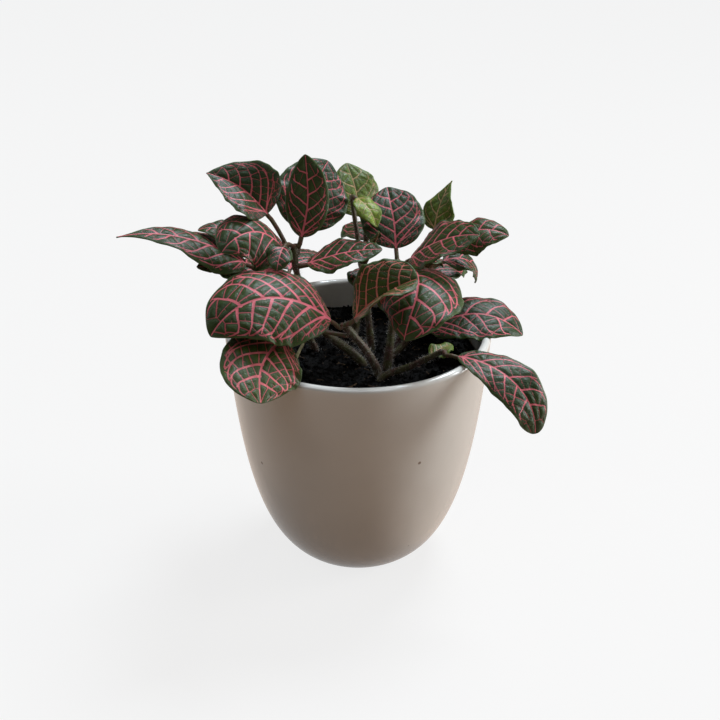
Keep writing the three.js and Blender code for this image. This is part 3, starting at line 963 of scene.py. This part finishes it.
def shred_shape(tree, given, strewn):
    """A thin bent shred, one unit long, lying almost flat."""
    rod = node(
        tree, "GeometryNodeMeshCylinder",
        {"Vertices": 5, "Side Segments": 4, "Radius": 0.05, "Depth": 1.0},
    )
    along = node(tree, "ShaderNodeSeparateXYZ", {0: node(tree, "GeometryNodeInputPosition").outputs[0]})
    sag = maths(tree, "MULTIPLY", along.outputs["Z"], along.outputs["Z"])
    bent = moved(tree, rod.outputs["Mesh"], node(tree, "ShaderNodeCombineXYZ", {"X": sag}).outputs[0])
    return bent, random_vector(tree, given, (1.35, 0, 0), (1.8, 0.3, 6.3))


def strew(name, surface, tree, **inputs):
    """Runs a scatter tree on a mesh and gives the result back as a plain mesh."""
    carrier = bpy.data.objects.new(name + "_carrier", surface)
    bpy.context.scene.collection.objects.link(carrier)
    modifier = carrier.modifiers.new("strew", "NODES")
    modifier.node_group = tree
    for item in tree.interface.items_tree:
        if item.in_out == "INPUT" and item.name in inputs:
            modifier[item.identifier] = inputs[item.name]
    graph = bpy.context.evaluated_depsgraph_get()
    mesh = bpy.data.meshes.new_from_object(carrier.evaluated_get(graph))
    mesh.name = name
    carrier.modifiers.remove(modifier)
    bpy.data.objects.remove(carrier)
    return mesh


# ------ making the plant

GLAZE = glaze_finish()
PEAT = peat_finish()
SHREDS = fibre_finish()
STEM_SKIN = stem_finish()
DRY = dry_finish()
HAIR = hair_finish()
LEAF = leaf_finish(
    "pink_veined_leaf", skin=rgb(0.014, 0.033, 0.008), olive=rgb(0.042, 0.068, 0.003),
    thin_vein=rgb(0.378, 0.059, 0.065), thick_vein=rgb(0.696, 0.144, 0.17), warm_vein=rgb(0.68, 0.2, 0.14),
    under=rgb(0.09, 0.12, 0.04), under_vein=rgb(0.38, 0.2, 0.12), edge=rgb(0.055, 0.088, 0.02),
)
YOUNG_LEAF = leaf_finish(
    "yellow_green_young_leaf", skin=rgb(0.05, 0.085, 0.012), olive=rgb(0.24, 0.32, 0.02),
    thin_vein=rgb(0.24, 0.2, 0.05), thick_vein=rgb(0.45, 0.27, 0.13), warm_vein=rgb(0.5, 0.36, 0.13),
    under=rgb(0.18, 0.26, 0.06), under_vein=rgb(0.45, 0.33, 0.16), edge=rgb(0.12, 0.18, 0.025),
)


def bezier(points, count):
    """Points on a cubic curve."""
    t = np.linspace(0, 1, count)[:, None]
    a, b, c, d = (np.array(p, dtype=float) for p in points)
    return (1 - t) ** 3 * a + 3 * t * (1 - t) ** 2 * b + 3 * t**2 * (1 - t) * c + t**3 * d


def make_pot():
    """The thrown body: a hollow foot, a swelling wall, a rolled lip and a plain inner wall."""
    wall = bezier(BODY_CURVE, BODY_STEPS)
    inner = FOOT_RADIUS - FOOT_RING
    profile = [(AXIS_RADIUS, FOOT_HOLLOW), (inner * 0.5, FOOT_HOLLOW), (inner - 1.4, FOOT_HOLLOW)]
    profile += [(inner - 0.5, FOOT_HOLLOW * 0.75), (inner, FOOT_HOLLOW * 0.25), (inner + 0.5, 0.0)]
    profile += [(inner + FOOT_RING / 2, 0.0), (FOOT_RADIUS - 0.45, 0.0), (FOOT_RADIUS, 0.25)]
    profile += [tuple(p) for p in wall[2:]]
    middle = POT_RADIUS - LIP_RADIUS
    for a in np.linspace(0, np.pi, 15)[1:-1]:
        profile.append((middle + LIP_RADIUS * np.cos(a), POT_HEIGHT - LIP_RADIUS + LIP_RADIUS * np.sin(a)))
    inside = wall[wall[:, 1] > FLOOR + 3][::-1]
    profile += [(r - WALL, z) for r, z in inside]
    last = profile[-1][0]
    profile += [(last - 1.2, FLOOR + 1.2), (last - 3.5, FLOOR), (last * 0.5, FLOOR), (AXIS_RADIUS, FLOOR)]
    points, faces = revolved(profile, POT_SIDES)
    settle("glazed_pot", mesh_of("glazed_pot", points, faces), GLAZE, "pot", "pot")


def soil_height(x, y):
    """The level of the peat: the CAD mounds, with smaller lumps on them."""
    mounds = 0.5 * (np.sin(x / 6 + 1) * np.cos(y / 7) + np.sin((x + y) / 13))
    lumps = 0.35 * np.sin(x * 0.9 + 2 * np.sin(y * 0.37)) * np.cos(y * 0.8 + 2 * np.sin(x * 0.31))
    crumbs = 0.22 * np.sin(x * 2.3 + y * 1.1) * np.sin(y * 2.7 - x * 0.9)
    return SOIL_LEVEL + mounds + lumps + crumbs


def make_soil():
    """The block of peat, and the crumbs and shreds that lie on it."""
    wall = bezier(BODY_CURVE, BODY_STEPS)
    below = wall[(wall[:, 1] > FLOOR + 3) & (wall[:, 1] < SOIL_LEVEL - 3)]
    profile = [(AXIS_RADIUS, FLOOR + SOIL_GAP), (below[0, 0] - WALL - 4, FLOOR + SOIL_GAP)]
    profile += [(r - WALL - SOIL_GAP, z) for r, z in below]
    edge = np.interp(SOIL_LEVEL - 1, wall[:, 1], wall[:, 0]) - WALL - SOIL_GAP
    profile.append((edge, SOIL_LEVEL - 1.6))
    first_top = len(profile)
    profile += [(edge * share, SOIL_LEVEL) for share in np.linspace(0.985, 0.01, 64)]
    points, faces = revolved(profile, POT_SIDES)
    top = slice(first_top * POT_SIDES, None)
    points[top, 2] = soil_height(points[top, 0], points[top, 1])
    settle("peat", mesh_of("peat", points, faces), PEAT, "soil", "soil")

    bed = [(edge * 0.98 * (1 - i / BED_RINGS) + 0.5, SOIL_LEVEL) for i in range(BED_RINGS)]
    cover = turned_rings(bed, BED_SIDES)
    cover[:, 2] = soil_height(cover[:, 0], cover[:, 1])
    bed = mesh_of("bed", cover, ring_faces(BED_RINGS, BED_SIDES))
    small = scatter_tree("small_crumbs", crumb_shape(1), PEAT)
    large = scatter_tree("large_crumbs", crumb_shape(2), PEAT)
    shred = scatter_tree("shreds", shred_shape, SHREDS)
    for name, tree, finish, amounts in (
        ("small_peat_crumbs", small, PEAT, dict(Density=4.2e5, Smallest=0.0007, Largest=0.0020, Seed=4)),
        ("large_peat_crumbs", large, PEAT, dict(Density=6.5e4, Smallest=0.0020, Largest=0.0046, Seed=9)),
        ("root_shreds", shred, SHREDS, dict(Density=1.4e4, Smallest=0.003, Largest=0.009, Seed=14)),
    ):
        settle(name, strew(name, bed.copy(), tree, **amounts), finish, "soil")


def make_stem(name, stem, curve, seed):
    """A ridged stem that thins upwards and swells where a leaf leaves it; returns the hairy skin."""
    rows = int(curve.length / STEM_ROW)
    share = np.linspace(0, 1, rows)
    low, high = stem["radius"]
    radius = low + (high - low) * share
    for leaf in stem["leaves"].values():
        radius = radius + 0.22 * np.exp(-(((share - leaf["at"]) * curve.length / 1.8) ** 2))
    radius = radius * (1 + 0.03 * np.sin(share * curve.length / 3 + seed))
    radius[-1] *= 0.35
    radius[-2] *= 0.8
    rings = tube(curve.at(share), radius, STEM_SIDES, ridges=0.035, seed=seed)
    points = rings.reshape(-1, 3)
    faces = tube_mesh_arrays(rings)
    if name == "dry":
        # The dead stub splits into two short prongs.
        tip = curve.at(1.0)[0]
        for lean in PRONGS:
            prong = np.array([tip + np.array(lean) * t * (1 + 0.2 * t) for t in np.linspace(-0.1, 1, 9)])
            size = np.linspace(0.75, 0.3, 9)
            more = tube(prong, size, PRONG_SIDES, up=(0, 1, 0.3), ridges=0.06, seed=seed)
            faces = np.concatenate([faces, tube_mesh_arrays(more, len(points))])
            points = np.concatenate([points, more.reshape(-1, 3)])
        settle("stem_dry_stub", mesh_of("stem_dry_stub", points, faces), DRY, "dry_stem", "stem_dry")
        return None
    mesh = mesh_of("stalk_" + name, points, faces)
    settle("stalk_" + name, mesh, STEM_SKIN, "stem", "stem_" + name)
    hairy = rings[int(BARE_FOOT * rows) :]
    return mesh_of("hairy_" + name, hairy.reshape(-1, 3), ring_faces(len(hairy), STEM_SIDES))


def make_clump():
    """Every stem with its leaves, then the hairs on the stems."""
    hairs = scatter_tree("stem_hairs", hair_shape, HAIR)
    count = 0
    for number, (stem_name, stem) in enumerate(STEMS.items()):
        x, y = stem["foot"]
        curve = Curve([(x, y, SOIL_LEVEL - STEM_DEPTH), (x, y, SOIL_LEVEL), *stem["path"]])
        skin = make_stem(stem_name, stem, curve, seed=number)
        if skin:
            hairs_name = "hairs_" + stem_name
            mesh = strew(hairs_name, skin, hairs, Seed=number, **HAIRS)
            settle(hairs_name, mesh, HAIR, "stem")
        for leaf_name, leaf in stem["leaves"].items():
            foot, tangent = curve.at(leaf["at"])[0], curve.tangent(leaf["at"])[0]
            heading = np.radians(leaf["heading"])
            out = np.array([np.cos(heading), np.sin(heading), 0.0])
            out = unit(out - tangent * (out @ tangent))
            low, high = stem["radius"]
            start = foot + out * (low + (high - low) * leaf["at"] + LEAF_GAP)
            name = f"{stem_name}_{leaf_name}"
            mesh = leaf_mesh("blade_" + name, leaf, foot, start, PHASE_STEP * count, seed=100 + count)
            finish, slot = (YOUNG_LEAF, "young_leaf") if "young" in leaf else (LEAF, "leaf")
            settle("blade_" + name, mesh, finish, slot, "leaf_" + name)
            count += 1


# ------ the studio

FLOOR_REACH = 4.0  # metres
SHOWN_GLOW, MIRRORED_GLOW = 0.8, 0.4  # of the floor, to the camera and in reflections


def make_floor():
    """A wide pale floor that glows, though it is no lamp: evenly bright to the camera, with a dimmer
    painted glow in reflections; it sends less light back up than it shows.
    """
    corners = [(x * FLOOR_REACH, y * FLOOR_REACH, 0) for x, y in ((-1, -1), (1, -1), (1, 1), (-1, 1))]
    mesh = bpy.data.meshes.new("floor")
    mesh.from_pydata(corners, [], [(0, 1, 2, 3)])
    floor = bpy.data.objects.new("floor", mesh)
    bpy.context.scene.collection.objects.link(floor)
    made, tree, shader = material("pale_floor", Roughness=0.9, Specular_IOR_Level=0.0,
                                  Emission_Color=rgb(1.0, 1.0, 1.0))
    path = node(tree, "ShaderNodeLightPath")
    seen = path.outputs["Is Camera Ray"]
    # painted reflection: the floor glows for glossy rays, which brightens what the glaze and the leaves
    # reflect
    mirrored = maths(tree, "MULTIPLY", path.outputs["Is Glossy Ray"], MIRRORED_GLOW)
    connect(tree, shader, Base_Color=blend(tree, seen, rgb(0.22, 0.13, 0.072), rgb(0.11, 0.102, 0.095)),
            Emission_Strength=maths(tree, "ADD", mirrored, maths(tree, "MULTIPLY", seen, SHOWN_GLOW)))
    mesh.materials.append(made)


def aim(thing, place_at, target):
    thing.location = [c * MM for c in place_at]
    way = Vector([t - p for t, p in zip(target, place_at)])
    thing.rotation_euler = way.to_track_quat("-Z", "Y").to_euler()


def make_light(name, kind, place_at, target, energy, colour, **settings):
    lamp = bpy.data.lights.new(name, kind)
    lamp.energy, lamp.color = energy, colour
    for key, value in settings.items():
        setattr(lamp, key, value)
    thing = bpy.data.objects.new(name, lamp)
    bpy.context.scene.collection.objects.link(thing)
    aim(thing, place_at, target)


def make_studio():
    """Cool soft light from behind and above, a panel at either side and a dim warm room."""
    middle = (0, 0, 110)
    make_light("window_light", "SUN", (260, 420, 900), middle, 3.4, (0.8, 0.9, 1.0), angle=math.radians(24))
    make_light("side_panel", "AREA", (1150, 120, 260), middle, 14.5, (0.93, 0.97, 1.0),
               shape="RECTANGLE", size=0.4, size_y=0.9)
    make_light("rear_left_panel", "AREA", (-1000, 450, 350), middle, 1.6, (0.82, 0.91, 1.0),
               shape="RECTANGLE", size=0.6, size_y=0.8)
    make_light("skylight", "AREA", (-150, -450, 1350), middle, 6.0, (0.84, 0.92, 1.0),
               shape="RECTANGLE", size=1.5, size_y=1.0)
    world = bpy.data.worlds.new("dim_room")
    bpy.context.scene.world = world
    world.use_nodes = True
    tree = world.node_tree
    path = node(tree, "ShaderNodeLightPath")
    colour = blend(tree, path.outputs["Is Camera Ray"], rgb(0.05, 0.045, 0.04), rgb(0.915, 0.915, 0.915))
    tree.links.new(colour, tree.nodes["Background"].inputs["Color"])


def make_camera():
    """Looks a little down on the plant from the front."""
    target, distance, elevation = (0.8, 0, 96), 560, math.radians(26.6)
    lens = bpy.data.cameras.new("camera")
    lens.lens, lens.sensor_width = 61.0, 36.0
    camera = bpy.data.objects.new("camera", lens)
    bpy.context.scene.collection.objects.link(camera)
    stand = (target[0], -distance * math.cos(elevation), target[2] + distance * math.sin(elevation))
    aim(camera, stand, target)
    bpy.context.scene.camera = camera


make_camera()
make_studio()
make_floor()
make_pot()
make_soil()
make_clump()
bpy.context.scene.view_settings.view_transform = "Standard"
